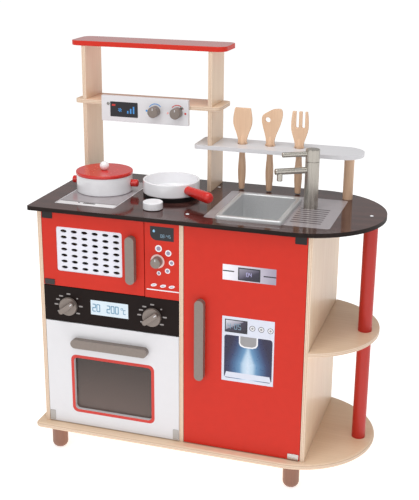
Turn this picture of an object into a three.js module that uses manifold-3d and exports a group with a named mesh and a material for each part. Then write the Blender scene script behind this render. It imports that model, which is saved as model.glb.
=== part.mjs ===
// Toy kitchen: a plywood cabinet on four turned feet with three doors, a dark
// worktop with a rounded right end, an open right end with a half-round shelf
// and a round post, a two-shelf hutch on the left, and a utensil shelf on the
// right. Units are millimetres, +Z up, the front faces -Y, the origin is the
// middle of the bounding box at floor level.
import * as THREE from 'three';
import Module from 'manifold-3d';

const wasm = await Module();
wasm.setup();

// ---------------------------------------------------------------- dimensions
const BOARD = 9;                    // panels, doors, worktop and shelves
const TOP_BOARD = 11;                // thickness of the top shelf
const FLOOR_GAP = 63.5;             // foot length
const BASE = { x0: -372, xc: 197, y0: -175, y1: 175, z0: 63.5, z1: 76.5, corner: 14 };
const FRONT = -155;                 // front plane of the cabinet and its doors
const BACK = 153.5;                 // back plane of the cabinet panels
const TOP = { x0: -369.5, xc: 202.25, yc: -2.25, r: 166.75, z0: 578.5, z1: 587.5, corner: 6 };
const LEFT = [-352, -343];          // left side panel
const DIV = [-30.5, -21.5];         // divider between oven side and fridge side
const RIGHT = [239, 248];           // right side panel
const Z_BASE = 76.5, Z_TOP = 578.5; // inside height of the cabinet
const Z_MW = 408.3;                 // joint line under the microwave
const Z_OVEN = 326.5;               // joint line over the oven door
const GAP = 0.9;                    // half the shut gap around a door
const SILL = 2;                     // gap under a door
const MID = { z0: 322.5, z1: 331.5 };
const HOB_KNOB = { x: -107, y: -102.5, r: 21.3 };
const HOOD_KNOBS = { xs: [-158.7, -107], z: 763.5, r: 12, h: 20 };
const POST = { x: 338.7, y: -4.2, r: 14.8 };
const HANDLE = { w: 20, d: 14 };
const FOOT = { r: 18, round: 14 };
const HUTCH = { y0: 66, y1: 157, zTop: 898, xl: -338, xr: -40.5 };
const SHELF = { y0: 64.5, y1: 158 };
const USHELF = { x0: -73, x1: 299.5, z0: 683.5, z1: 692.5 };
const UT_Y = 111, UT_X = [27, 90.5, 156];
const POT = { x: -262.2, y: 5, r: 62.5, h: 39.2 };
const PAN = { x: -104.1, y: 6.7, r: 62.5, wall: 5, h: 29.8, disc: 9.5, dir: -35.5 };
const TAP = { x: 206, y: 14, r: 15, seam: 689, top: 715, dir: 212 };
const SINK = { x0: 37.5, x1: 178, y0: -131, y1: 61, ix0: 48.5, ix1: 167, iy0: -120, iy1: 50, rise: 8, depth: 76, t: 1.6 };

// ---------------------------------------------------------------- materials
const mat = (color, roughness, metalness = 0) => new THREE.MeshStandardMaterial({ color, roughness, metalness });
const M = {
  ply: mat(0xdcc6a4, 0.55), beech: mat(0xd0ab86, 0.5), wenge: mat(0x3a2a26, 0.22),
  red: mat(0xd93a2a, 0.35), white: mat(0xe6e6e9, 0.35), black: mat(0x231c1b, 0.3),
  grey: mat(0x8c857e, 0.45), steel: mat(0xa7a49c, 0.32, 1), darksteel: mat(0x3a3c3e, 0.3, 1),
  enamel: mat(0xe9e9ec, 0.25), perf: mat(0xe0dfe6, 0.4), smoke: mat(0x54483f, 0.2),
};

// ---------------------------------------------------------------- helpers
const group = new THREE.Group();
group.name = 'toy_kitchen';

function outward(g) {
  const p = g.attributes.position, ix = g.index;
  const n = ix ? ix.count : p.count, id = (i) => (ix ? ix.getX(i) : i);
  let v = 0;
  const a = new THREE.Vector3(), b = new THREE.Vector3(), c = new THREE.Vector3();
  for (let i = 0; i < n; i += 3) {
    a.fromBufferAttribute(p, id(i)); b.fromBufferAttribute(p, id(i + 1)); c.fromBufferAttribute(p, id(i + 2));
    v += a.dot(b.cross(c));
  }
  if (v >= 0) return g;
  const out = g.index ? g.toNonIndexed() : g;
  const q = out.attributes.position.array;
  for (let i = 0; i < q.length; i += 9) for (let k = 0; k < 3; k++) { const t = q[i + k]; q[i + k] = q[i + 6 + k]; q[i + 6 + k] = t; }
  out.computeVertexNormals();
  return out;
}

function weld(g) {
  const pos = (g.index ? g.toNonIndexed() : g).attributes.position, map = new Map(), verts = [], tris = [];
  const ids = [];
  for (let i = 0; i < pos.count; i++) {
    const k = [pos.getX(i), pos.getY(i), pos.getZ(i)].map((v) => Math.round(v * 1e4)).join(',');
    if (!map.has(k)) { map.set(k, verts.length / 3); verts.push(pos.getX(i), pos.getY(i), pos.getZ(i)); }
    ids.push(map.get(k));
  }
  for (let i = 0; i < ids.length; i += 3) {
    const [a, b, c] = [ids[i], ids[i + 1], ids[i + 2]];
    if (a !== b && b !== c && a !== c) tris.push(a, b, c);
  }
  return { verts: new Float32Array(verts), tris: new Uint32Array(tris) };
}
function solid(g) {
  const { verts, tris } = weld(outward(g));
  return new wasm.Manifold(new wasm.Mesh({ numProp: 3, vertProperties: verts, triVerts: tris }));
}
function geo(m) {
  const k = m.getMesh(), g = new THREE.BufferGeometry();
  const v = new Float32Array((k.vertProperties.length / k.numProp) * 3);
  for (let i = 0; i < v.length / 3; i++) for (let j = 0; j < 3; j++) v[i * 3 + j] = k.vertProperties[i * k.numProp + j];
  g.setAttribute('position', new THREE.BufferAttribute(v, 3));
  g.setIndex(new THREE.BufferAttribute(new Uint32Array(k.triVerts), 1));
  const out = g.toNonIndexed();
  out.computeVertexNormals();
  return out;
}
function add(name, g, material) {
  const m = new THREE.Mesh(outward(g), material);
  m.name = name;
  group.add(m);
  return m;
}
const slab = (x0, x1, y0, y1, z0, z1) => {
  const g = new THREE.BoxGeometry(x1 - x0, y1 - y0, z1 - z0);
  g.translate((x0 + x1) / 2, (y0 + y1) / 2, (z0 + z1) / 2);
  return g;
};
const arc = (cx, cz, r, a0, a1, n) => Array.from({ length: n + 1 }, (_, i) => {
  const a = (a0 + ((a1 - a0) * i) / n) * Math.PI / 180;
  return [cx + r * Math.cos(a), cz + r * Math.sin(a)];
});
const trace = (pts, Kind = THREE.Shape) => new Kind().setFromPoints(pts.map(([x, y]) => new THREE.Vector2(x, y)));
const roundRect = (x0, y0, x1, y1, r, Kind = THREE.Shape, n = 4) => trace([
  ...arc(x1 - r, y0 + r, r, -90, 0, n), ...arc(x1 - r, y1 - r, r, 0, 90, n),
  ...arc(x0 + r, y1 - r, r, 90, 180, n), ...arc(x0 + r, y0 + r, r, 180, 270, n)], Kind);
// board outline with a half-round right end of radius r about (xc, yc)
const dEnd = (x0, xc, yc, r, c, n = 40) => trace([
  ...arc(xc, yc, r, -90, 90, n), ...arc(x0 + c, yc + r - c, c, 90, 180, 4), ...arc(x0 + c, yc - r + c, c, 180, 270, 4)]);
// a flat shape drawn in X and Y, given a height from z0 to z1
const flat = (shape, z0, z1, seg = 6, bevel = 0, bseg = 2) => new THREE.ExtrudeGeometry(shape, bevel
  ? { depth: z1 - z0 - 2 * bevel, curveSegments: seg, bevelEnabled: true, bevelThickness: bevel, bevelSize: bevel, bevelOffset: -bevel, bevelSegments: bseg }
  : { depth: z1 - z0, curveSegments: seg, bevelEnabled: false }).translate(0, 0, z0 + bevel);
// a shape drawn in X and Z, given a thickness from y0 to y1
const upright = (shape, y0, y1, seg = 6, bevel = 0, bseg = 2) => new THREE.ExtrudeGeometry(shape, bevel
  ? { depth: y1 - y0 - 2 * bevel, curveSegments: seg, bevelEnabled: true, bevelThickness: bevel, bevelSize: bevel, bevelOffset: -bevel, bevelSegments: bseg }
  : { depth: y1 - y0, curveSegments: seg, bevelEnabled: false }).rotateX(Math.PI / 2).translate(0, y1 - bevel, 0);
// a turned piece: profile of [radius, height] pairs about a vertical axis
function turned(profile, seg = 32) {
  return new THREE.LatheGeometry(profile.map(([r, z]) => new THREE.Vector2(r, z)), seg).rotateX(Math.PI / 2);
}
// a turned piece lying along +X from the origin
const lying = (profile, seg = 24) => turned(profile, seg).rotateY(Math.PI / 2);

// ---------------------------------------------------------------- carcass
add('base_plate', flat(dEnd(BASE.x0, BASE.xc, 0, BASE.y1, BASE.corner), BASE.z0, BASE.z1, 1, 6, 3), M.ply);
for (const [name, x, y] of [['foot_front_left', -332, -129], ['foot_front_right', 216, -129], ['foot_back_left', -332, 129], ['foot_back_right', 216, 129]]) {
  const f = FOOT;
  add(name, turned([[0, 0], [f.r - f.round, 0], ...arc(f.r - f.round, f.round, f.round, -90, 0, 4).slice(1), [f.r, FLOOR_GAP], [0, FLOOR_GAP]], 24).translate(x, y, 0), M.beech);
}
add('left_side_panel', slab(LEFT[0], LEFT[1], FRONT, BACK, Z_BASE, Z_TOP), M.ply);
add('right_side_panel', slab(RIGHT[0], RIGHT[1], FRONT, BACK, Z_BASE, Z_TOP), M.ply);
add('divider_panel', slab(DIV[0], DIV[1], FRONT, BACK - 4, Z_BASE, Z_TOP), M.ply);
add('back_panel', slab(LEFT[1], RIGHT[0], BACK - 4, BACK, Z_BASE, Z_TOP), M.ply);
add('microwave_floor', slab(LEFT[1], DIV[0], FRONT + BOARD, BACK - 4, Z_MW - 0.3 - BOARD, Z_MW - 0.3), M.ply);
add('oven_top_board', slab(LEFT[1], DIV[0], FRONT + BOARD, BACK - 4, Z_OVEN, Z_OVEN + BOARD), M.ply);
{
  const s = dEnd(TOP.x0, TOP.xc, TOP.yc, TOP.r, TOP.corner);
  s.holes.push(roundRect(SINK.ix0 - 2.5, SINK.iy0 - 2.5, SINK.ix1 + 2.5, SINK.iy1 + 2.5, 10, THREE.Path));
  add('countertop', flat(s, TOP.z0, TOP.z1), M.wenge);
}
{
  // half-round shelf on the open right end, cut flat where it meets the panel
  const a = Math.acos((RIGHT[1] - TOP.xc) / TOP.r) * 180 / Math.PI;
  add('end_shelf', flat(trace(arc(TOP.xc, TOP.yc, TOP.r, -a, a, 32)), MID.z0, MID.z1), M.ply);
}
const rod = (r, z0, z1, x, y, seg = 28) => turned([[0, z0], [r, z0], [r, z1], [0, z1]], seg).translate(x, y, 0);
add('post_lower', rod(POST.r, Z_BASE, MID.z0, POST.x, POST.y), M.red);
add('post_upper', rod(POST.r, MID.z1, Z_TOP, POST.x, POST.y), M.red);

// ---------------------------------------------------------------- doors and fronts
// rectangle in X and Z with an optional rounded opening
function board(x0, x1, z0, z1, hole) {
  const s = trace([[x0, z0], [x1, z0], [x1, z1], [x0, z1]]);
  if (hole) s.holes.push(roundRect(hole[0], hole[2], hole[1], hole[3], hole[4], THREE.Path));
  return s;
}
const DOOR_Z0 = Z_BASE + SILL;
const mwHole = [-309, -158, 444, 544, 5];
add('microwave_door', upright(board(LEFT[1] + GAP, -108.2, Z_MW + GAP, Z_TOP - GAP, mwHole), FRONT, FRONT + BOARD), M.red);
{
  // perforated window: six columns and seven rows of oval holes
  const e = 0.05;
  const s = roundRect(mwHole[0] + e, mwHole[2] + e, mwHole[1] - e, mwHole[3] - e, mwHole[4]);
  for (let i = 0; i < 6; i++) for (let j = 0; j < 7; j++) {
    const cx = -292 + 24.1 * i, cz = 534.9 - 13.6 * j;
    s.holes.push(trace(arc(0, 0, 1, 0, 324, 9).map(([u, v]) => [cx + 7.2 * u, cz + 3.4 * v]), THREE.Path));
  }
  add('microwave_window', upright(s, FRONT + 1.5, FRONT + 4.5), M.perf);
}
add('microwave_control_panel', upright(board(-106.8, DIV[0], Z_MW, Z_TOP, null), FRONT, FRONT + BOARD), M.red);
add('oven_control_panel', upright(board(LEFT[1], DIV[0], Z_OVEN + GAP, Z_MW - 0.3, null), FRONT, FRONT + BOARD), M.black);
const ovHole = [-277.5, -95, 116.5, 243, 9];
add('oven_door', upright(board(LEFT[1] + GAP, DIV[0] - GAP, DOOR_Z0, Z_OVEN - GAP, ovHole), FRONT, FRONT + BOARD), M.white);
add('oven_window', upright(roundRect(-286, 108, -86.5, 251.5, 8), FRONT + BOARD, FRONT + BOARD + 3), M.smoke);
add('fridge_door', upright(board(DIV[1] + GAP, RIGHT[0] - GAP, DOOR_Z0, Z_TOP - GAP), FRONT, FRONT + BOARD), M.red);

const bar = (x0, x1, z0, z1) => upright(roundRect(x0, z0, x1, z1, Math.min(x1 - x0, z1 - z0) / 2 - 0.001, THREE.Shape, 6), FRONT - HANDLE.d, FRONT);
add('microwave_handle', bar(-146, -126, 436.5, 541.5), M.grey);
add('oven_handle', bar(-278.6, -100.2, 271.5, 291.5), M.grey);
add('fridge_handle', bar(7, 27, 237.8, 419.7), M.grey);

// corner hinge plates, 24 x 13 x 1.2, on the doors' front faces
const plate = (x0, x1, z0, z1) => upright(roundRect(x0, z0, x1, z1, 1.2, THREE.Shape, 2), FRONT - 1.2, FRONT);
const mwL = LEFT[1] + GAP + 2, frR = RIGHT[0] - GAP - 2;
add('microwave_hinge_top', plate(mwL, mwL + 24, Z_TOP - GAP - 17, Z_TOP - GAP - 1), M.darksteel);
add('microwave_hinge_bottom', plate(mwL, mwL + 24, Z_MW + GAP + 1, Z_MW + GAP + 14), M.darksteel);
add('oven_hinge_left', plate(LEFT[1] + GAP + 1, LEFT[1] + GAP + 14, DOOR_Z0 + 2, DOOR_Z0 + 26), M.steel);
add('oven_hinge_right', plate(DIV[0] - GAP - 14, DIV[0] - GAP - 1, DOOR_Z0 + 2, DOOR_Z0 + 26), M.steel);
add('fridge_hinge_top', plate(frR - 24, frR, Z_TOP - GAP - 17, Z_TOP - GAP - 1), M.darksteel);
add('fridge_hinge_bottom', plate(frR - 24, frR, DOOR_Z0 + 1, DOOR_Z0 + 14), M.steel);

// ---------------------------------------------------------------- knobs on the front and hood
// turned about the Y axis, the base against the panel at plane y
const facing = (profile, x, y, z, seg = 28) => turned(profile, seg).rotateX(Math.PI / 2).translate(x, y, z);
for (const [name, x] of [['oven_knob_left', -285], ['oven_knob_right', -91]]) {
  const disc = solid(facing([[0, 0], [20.5, 0], [20.5, 6.5], [19.5, 8], [0, 8]], 0, 0, 0, 32));
  const g = upright(roundRect(-20.6, -5.8, 20.6, 5.8, 5), -18, -6, 1, 1.2, 2).rotateY(-38 * Math.PI / 180);
  add(name, geo(disc.add(solid(g))).translate(x, FRONT, 364.5), M.grey);
}
const cylKnob = (r, h) => [[0, 0], [r, 0], [r, h - 1.4], [r - 0.4, h - 0.4], [r - 1.4, h], [0, h]];
add('microwave_knob', facing(cylKnob(11.3, 16), -78, FRONT, 491, 24), M.grey);
add('hood_knob_left', facing(cylKnob(HOOD_KNOBS.r, HOOD_KNOBS.h), HOOD_KNOBS.xs[0], 55.5, HOOD_KNOBS.z, 24), M.grey);
add('hood_knob_right', facing(cylKnob(HOOD_KNOBS.r, HOOD_KNOBS.h), HOOD_KNOBS.xs[1], 55.5, HOOD_KNOBS.z, 24), M.grey);

// ---------------------------------------------------------------- hutch
const lap = { mid: [769.3, 778.3], depth: 111 };
for (const [name, x, cuts] of [['hutch_upright_left', HUTCH.xl, [lap.mid]], ['hutch_upright_right', HUTCH.xr, [lap.mid, [USHELF.z0, USHELF.z1]]]]) {
  // each upright is notched from the front where a shelf crosses it
  const pts = [[HUTCH.y0, TOP.z1]];
  for (const [a, b] of [...cuts].sort((p, q) => p[0] - q[0])) pts.push([HUTCH.y0, a], [lap.depth, a], [lap.depth, b], [HUTCH.y0, b]);
  pts.push([HUTCH.y0, HUTCH.zTop], [HUTCH.y1, HUTCH.zTop], [HUTCH.y1, TOP.z1]);
  const s = new THREE.Shape(pts.map(([y, z]) => new THREE.Vector2(y, z)));
  const g = new THREE.ExtrudeGeometry(s, { depth: BOARD, bevelEnabled: false });
  // drawn in Y and Z: turn the drawing plane to face +X
  const m = new THREE.Matrix4().set(0, 0, 1, x, 1, 0, 0, 0, 0, 1, 0, 0, 0, 0, 0, 1);
  add(name, g.applyMatrix4(m), M.ply);
}
add('top_shelf', flat(roundRect(-366, SHELF.y0, -2, SHELF.y1, 20), HUTCH.zTop, HUTCH.zTop + TOP_BOARD), M.red);
// outline of a shelf with slots in its back half where it crosses the uprights
function lapped(x0, x1, slots, right, c = 10) {
  const { y0, y1 } = SHELF;
  return trace([...right, ...slots.flatMap((a) => [[a + BOARD, y1], [a + BOARD, lap.depth], [a, lap.depth], [a, y1]]),
    ...arc(x0 + c, y1 - c, c, 90, 180, 4), ...arc(x0 + c, y0 + c, c, 180, 270, 4)]);
}
add('hutch_shelf', flat(lapped(-358, -13, [HUTCH.xr, HUTCH.xl], [...arc(-27, SHELF.y0 + 14, 14, -90, 0, 5), ...arc(-27, SHELF.y1 - 14, 14, 0, 90, 5)], 14), ...lap.mid), M.ply);
add('hood_panel', slab(-287.5, -81.5, 55.5, SHELF.y0, 734.5, 792.3), M.white);
{
  const R = (SHELF.y1 - SHELF.y0) / 2;
  const s = lapped(USHELF.x0, USHELF.x1, [HUTCH.xr], arc(USHELF.x1 - R, SHELF.y0 + R, R, -90, 90, 20));
  for (const x of UT_X) s.holes.push(trace(arc(x, UT_Y, 10.5, 0, 345, 23), THREE.Path));
  add('utensil_shelf', flat(s, USHELF.z0, USHELF.z1), M.white);
}
add('shelf_dowel', rod(11, TOP.z1, USHELF.z0, 268, 110, 24), M.beech);

// ---------------------------------------------------------------- utensils
// turned handle hanging through the shelf, flat head standing on it
const H_END = 589.2, H_TOP = USHELF.z1 + 0.3;
const handle = (x) => turned([[0, H_END], [4.8, H_END], [6.2, H_END + 1.6], [7.6, 606], [8.8, 622], [9, 632], [8.6, 645], [7.2, 662], [6.5, 674], [7.2, 684], [7.6, H_TOP + 4], [0, H_TOP + 4]], 16).translate(x, UT_Y, 0);
// head outlines as [offset from the axis, height above the shelf]
const mirror = (half) => [...half, ...half.slice().reverse().map(([u, v]) => [-u, v])];
const HEADS = {
  spatula: mirror([[11.5, 0], [9.6, 5], [11.2, 14], [15, 26], [19.6, 38], [21.6, 48], [21.4, 60], [19.4, 72], [17.6, 80.5]]),
  turner: [[11.5, 0], [9.2, 6], [11, 18], [16, 32], [21.4, 46], [25.6, 62], [26.6, 72], [26, 78], [23.4, 81.6], [19.4, 83], [11, 82.4], [3.6, 80.6], [-7.4, 74.6], [-15.6, 69.4], [-19, 64], [-19.8, 56.5], [-18, 46], [-14, 32], [-10.4, 18], [-9, 6], [-11.5, 0]],
  serving_fork: [[11.5, 0], [9.6, 5], [11.2, 14], [15, 26], [18.4, 38], [19.4, 50], [18.6, 66], [16.8, 80.5], [11.2, 80.5], [11.2, 44.5], [5, 44.5], [5, 80.5], [-2.4, 80.5], [-2.4, 44.5], [-8.6, 44.5], [-8.6, 80.5], [-16.8, 80.5], [-18.6, 66], [-19.4, 50], [-18.4, 38], [-15, 26], [-11.2, 14], [-9.6, 5], [-11.5, 0]],
};
const HEAD_T = 7;
Object.entries(HEADS).forEach(([name, pts], i) => {
  const x = UT_X[i], s = trace(pts.map(([u, v]) => [x + u, H_TOP + v]));
  if (name === 'turner') s.holes.push(trace(arc(x - 6, H_TOP + 57.5, 5.8, 0, 330, 11), THREE.Path));
  add(name, geo(solid(upright(s, UT_Y - HEAD_T / 2, UT_Y + HEAD_T / 2)).add(solid(handle(x)))), M.beech);
});

// ---------------------------------------------------------------- worktop fittings
{
  const k = SINK, z1 = TOP.z1 + k.rise;
  const outer = solid(flat(roundRect(k.x0, k.y0, k.x1, k.y1, 7), TOP.z1, z1));
  const under = solid(flat(roundRect(k.x0 + k.t, k.y0 + k.t, k.x1 - k.t, k.y1 - k.t, 5.5), TOP.z1 - 1, z1 - k.t));
  const tub = solid(flat(roundRect(k.ix0 - k.t, k.iy0 - k.t, k.ix1 + k.t, k.iy1 + k.t, 9.5), z1 - k.depth, z1));
  const bowl = solid(flat(roundRect(k.ix0, k.iy0, k.ix1, k.iy1, 8), z1 - k.depth + k.t, z1 + 5));
  add('sink_basin', geo(outer.subtract(under).add(tub).subtract(bowl)), M.steel);
}
const aim = (g, deg, x, y, z) => g.rotateZ(deg * Math.PI / 180).translate(x, y, z);
{
  const t = TAP, seg = 28;
  const body = turned([[0, TOP.z1], [t.r, TOP.z1], [t.r, t.seam - 0.5], [0, t.seam - 0.5]], seg).translate(t.x, t.y, 0);
  add('faucet_body', body.clone(), M.steel);
  const cap = turned([[0, t.seam], [t.r, t.seam], [t.r, t.top - 0.8], [t.r - 0.8, t.top], [0, t.top]], seg).translate(t.x, t.y, 0);
  const lever = aim(lying([[0, 4], [5.4, 4], [5.4, 65.4], [4.6, 66.2], [0, 66.2]], 14), t.dir - 1, t.x, t.y, 705);
  add('faucet_cap', geo(solid(cap).add(solid(lever))), M.steel);
  const spout = solid(aim(lying([[0, 8], [6.8, 8], [6.8, 80.2], [5.8, 81.4], [0, 81.4]], 18), t.dir, t.x, t.y, 670.3));
  const c = Math.cos(t.dir * Math.PI / 180), s = Math.sin(t.dir * Math.PI / 180);
  const nozzle = solid(turned([[0, 650.2], [5.5, 650.2], [6, 650.8], [6, 670], [0, 670]], 18).translate(t.x + 71 * c, t.y + 71 * s, 0));
  add('faucet_spout', geo(spout.add(nozzle).subtract(solid(body))), M.steel);
}
// white hob control knob standing just clear of the worktop on a short stem
{
  const r = HOB_KNOB.r, z = TOP.z1;
  add('hob_knob', turned([[0, z], [9, z], [9, z + 1], [r - 1, z + 1], [r, z + 2], ...arc(r - 2, z + 14.8, 2, 0, 90, 3), [0, z + 16.8]], 28).translate(HOB_KNOB.x, HOB_KNOB.y, 0), M.white);
}
add('burner_disc', rod(62, TOP.z1, TOP.z1 + PAN.disc, PAN.x, PAN.y, 40), M.black);

// ---------------------------------------------------------------- pot with lid
{
  const p = POT, z = TOP.z1 + 0.4, seg = 36;
  const outer = [[0, z], [p.r - 2.5, z], ...arc(p.r - 2.5, z + 2.5, 2.5, -90, 0, 3).slice(1), [p.r, z + p.h]];
  add('pot_body', turned([...outer, [p.r - 2, z + p.h], [p.r - 2, z + 6], ...arc(p.r - 6, z + 6, 4, 0, -90, 2).slice(1), [0, z + 2]], seg).translate(p.x, p.y, 0), M.enamel);
  const full = solid(turned([...outer, [0, z + p.h]], seg).translate(p.x, p.y, 0));
  for (const [name, deg, tip] of [['pot_handle_right', 4, 78.5], ['pot_handle_left', 184, 75]]) {
    const g = solid(aim(lying([[0, 56], [8.2, 56], [8.2, tip - 3], ...arc(5.7, tip - 2.5, 2.5, 0, 90, 2).slice(1), [0, tip]], 20), deg, p.x, p.y, z + 20.4));
    add(name, geo(g.subtract(full)), M.red);
  }
  const zl = z + p.h + 0.2;
  add('pot_lid', turned([[0, zl - 3], [p.r - 4, zl - 3], [p.r - 3.4, zl], [p.r + 0.9, zl], [p.r + 1.4, zl + 0.8], [p.r + 1.4, zl + 4.6], [p.r + 0.7, zl + 6.3], [p.r - 1, zl + 7], [0, zl + 7]], seg).translate(p.x, p.y, 0), M.red);
  const r = 10.3, b = -Math.asin(9.2 / r) * 180 / Math.PI;
  add('lid_knob', turned([[0, zl + 7], ...arc(0, zl + 7 + 9.2, r, b, 90, 8)], 20).translate(p.x, p.y, 0), M.enamel);
}
// ---------------------------------------------------------------- pan
{
  const p = PAN, z = TOP.z1 + p.disc + 0.2, seg = 36;
  const outer = [[0, z], [p.r - 3, z], ...arc(p.r - 3, z + 3, 3, -90, 0, 3).slice(1), ...arc(p.r - 1.8, z + p.h - 1.8, 1.8, 0, 90, 2)];
  add('pan_body', turned([...outer, ...arc(p.r - p.wall + 1.8, z + p.h - 1.8, 1.8, 90, 180, 2), [p.r - p.wall, z + 6.5], ...arc(p.r - p.wall - 4, z + 6.5, 4, 0, -90, 3).slice(1), [0, z + 2.5]], seg).translate(p.x, p.y, 0), M.enamel);
  const full = solid(turned([...outer, [0, z + p.h]], seg).translate(p.x, p.y, 0));
  const grip = lying([[0, 54], [10, 54], [10, 66], [10.7, 88], [11.7, 116], [12, 130], [11.3, 136], [9.2, 139.8], [5.8, 141.8], [0, 142]], 18);
  add('pan_handle', geo(solid(aim(grip, p.dir, p.x, p.y, TOP.z1 + 25.5)).subtract(full)), M.red);
}

export default group;
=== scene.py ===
import bpy, bmesh, math
from mathutils import Matrix, Vector


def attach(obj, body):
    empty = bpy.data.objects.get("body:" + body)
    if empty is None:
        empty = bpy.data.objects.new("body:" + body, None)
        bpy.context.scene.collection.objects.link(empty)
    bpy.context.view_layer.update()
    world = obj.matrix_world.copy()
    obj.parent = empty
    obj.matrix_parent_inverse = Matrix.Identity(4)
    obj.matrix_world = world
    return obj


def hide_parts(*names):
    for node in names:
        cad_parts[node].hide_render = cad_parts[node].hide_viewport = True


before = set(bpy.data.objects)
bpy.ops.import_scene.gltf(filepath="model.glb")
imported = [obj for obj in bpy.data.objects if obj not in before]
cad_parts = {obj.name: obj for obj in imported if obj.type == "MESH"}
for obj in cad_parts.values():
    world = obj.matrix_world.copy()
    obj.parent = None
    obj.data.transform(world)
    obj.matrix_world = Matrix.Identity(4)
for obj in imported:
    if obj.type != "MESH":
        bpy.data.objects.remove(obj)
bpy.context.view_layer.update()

scene = bpy.context.scene
pi = math.pi

# ------------------------------------------------------------------ camera
cam_data = bpy.data.cameras.new("camera")
cam = bpy.data.objects.new("camera", cam_data)
scene.collection.objects.link(cam)
scene.camera = cam
az, el, roll = math.radians(17.8), math.radians(18.28), math.radians(0.34)
back = Vector((math.sin(az) * math.cos(el), -math.cos(az) * math.cos(el), math.sin(el)))
right = Vector((math.cos(az), math.sin(az), 0))
up = back.cross(right)
c, s = math.cos(roll), math.sin(roll)
r2, u2 = right * c + up * s, up * c - right * s
m = Matrix((r2, u2, back)).transposed().to_4x4()
m.translation = Vector((0.6034, -1.9826, 1.1770))
cam.matrix_world = m
cam_data.sensor_width = 36
cam_data.lens = 71.45
cam_data.shift_x, cam_data.shift_y = 0.0171, -0.0154
cam_data.clip_end = 50

# ------------------------------------------------------------------ materials
def S(r, g, b):
    f = lambda v: (v / 255) / 12.92 if v / 255 <= 0.04045 else ((v / 255 + 0.055) / 1.055) ** 2.4
    return (f(r), f(g), f(b), 1.0)


class M:
    """A node material whose colour, roughness and bump all come from nodes."""

    def __init__(self, name):
        self.m = bpy.data.materials.new(name)
        self.m.use_nodes = True
        self.t = self.m.node_tree
        self.p = self.t.nodes["Principled BSDF"]
        self.co = self.node("ShaderNodeTexCoord").outputs["Object"]

    def node(self, kind, **kw):
        n = self.t.nodes.new(kind)
        for k, v in kw.items():
            setattr(n, k, v)
        return n

    def link(self, a, b):
        self.t.links.new(a, b)

    def mapped(self, scale, co=None, loc=(0, 0, 0), rot=(0, 0, 0)):
        n = self.node("ShaderNodeMapping")
        n.inputs["Scale"].default_value = scale
        n.inputs["Location"].default_value = loc
        n.inputs["Rotation"].default_value = rot
        self.link(co or self.co, n.inputs["Vector"])
        return n.outputs[0]

    def noise(self, vec, scale, detail=3.0, rough=0.5, dist=0.0):
        n = self.node("ShaderNodeTexNoise")
        n.inputs["Scale"].default_value = scale
        n.inputs["Detail"].default_value = detail
        n.inputs["Roughness"].default_value = rough
        n.inputs["Distortion"].default_value = dist
        self.link(vec, n.inputs["Vector"])
        return n.outputs["Fac"]

    def ramp(self, fac, stops, mode="LINEAR"):
        n = self.node("ShaderNodeValToRGB")
        cr = n.color_ramp
        cr.interpolation = mode
        while len(cr.elements) < len(stops):
            cr.elements.new(0.5)
        for e, (pos, col) in zip(cr.elements, stops):
            e.position = pos
            e.color = col
        self.link(fac, n.inputs[0])
        return n.outputs[0]

    def rng(self, v, a, b, c, d):
        n = self.node("ShaderNodeMapRange")
        for i, x in zip((1, 2, 3, 4), (a, b, c, d)):
            n.inputs[i].default_value = x
        self.link(v, n.inputs[0])
        return n.outputs[0]

    def math(self, op, a, b):
        n = self.node("ShaderNodeMath", operation=op)
        for i, x in enumerate((a, b)):
            if isinstance(x, (int, float)):
                n.inputs[i].default_value = x
            else:
                self.link(x, n.inputs[i])
        return n.outputs[0]

    def mix(self, fac, a, b, mode="MIX"):
        n = self.node("ShaderNodeMix", data_type="RGBA", blend_type=mode)
        for k, x in ((0, fac), (6, a), (7, b)):
            if isinstance(x, (int, float)):
                n.inputs[k].default_value = x
            elif isinstance(x, tuple):
                n.inputs[k].default_value = x
            else:
                self.link(x, n.inputs[k])
        return n.outputs[2]

    def bump(self, h, strength, dist=0.0005):
        n = self.node("ShaderNodeBump")
        n.inputs["Strength"].default_value = strength
        n.inputs["Distance"].default_value = dist
        self.link(h, n.inputs["Height"])
        self.link(n.outputs[0], self.p.inputs["Normal"])

    def set(self, **kw):
        names = dict(metallic="Metallic", coat="Coat Weight", coat_rough="Coat Roughness", spec="Specular IOR Level", ior="IOR", trans="Transmission Weight", alpha="Alpha")
        for k, v in kw.items():
            self.p.inputs[names[k]].default_value = v

    def color(self, out):
        self.link(out, self.p.inputs["Base Color"])

    def rough(self, out):
        self.link(out, self.p.inputs["Roughness"])


def paint(name, col, rough=0.3, var=0.06, peel=0.08, metallic=0.0, coat=0.0, tint=0.06, scale=60):
    k = M(name)
    n = k.noise(k.co, scale, 3)
    lo = tuple(v * (1 - tint) for v in col[:3]) + (1,)
    hi = tuple(min(1, v * (1 + tint)) for v in col[:3]) + (1,)
    k.color(k.ramp(n, [(0.3, lo), (0.7, hi)]))
    k.rough(k.rng(k.noise(k.co, scale * 4, 2), 0.3, 0.7, rough - var, rough + var))
    k.bump(k.noise(k.co, 900, 2), peel, 0.0003)
    k.set(metallic=metallic, coat=coat, coat_rough=0.1)
    return k.m


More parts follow.
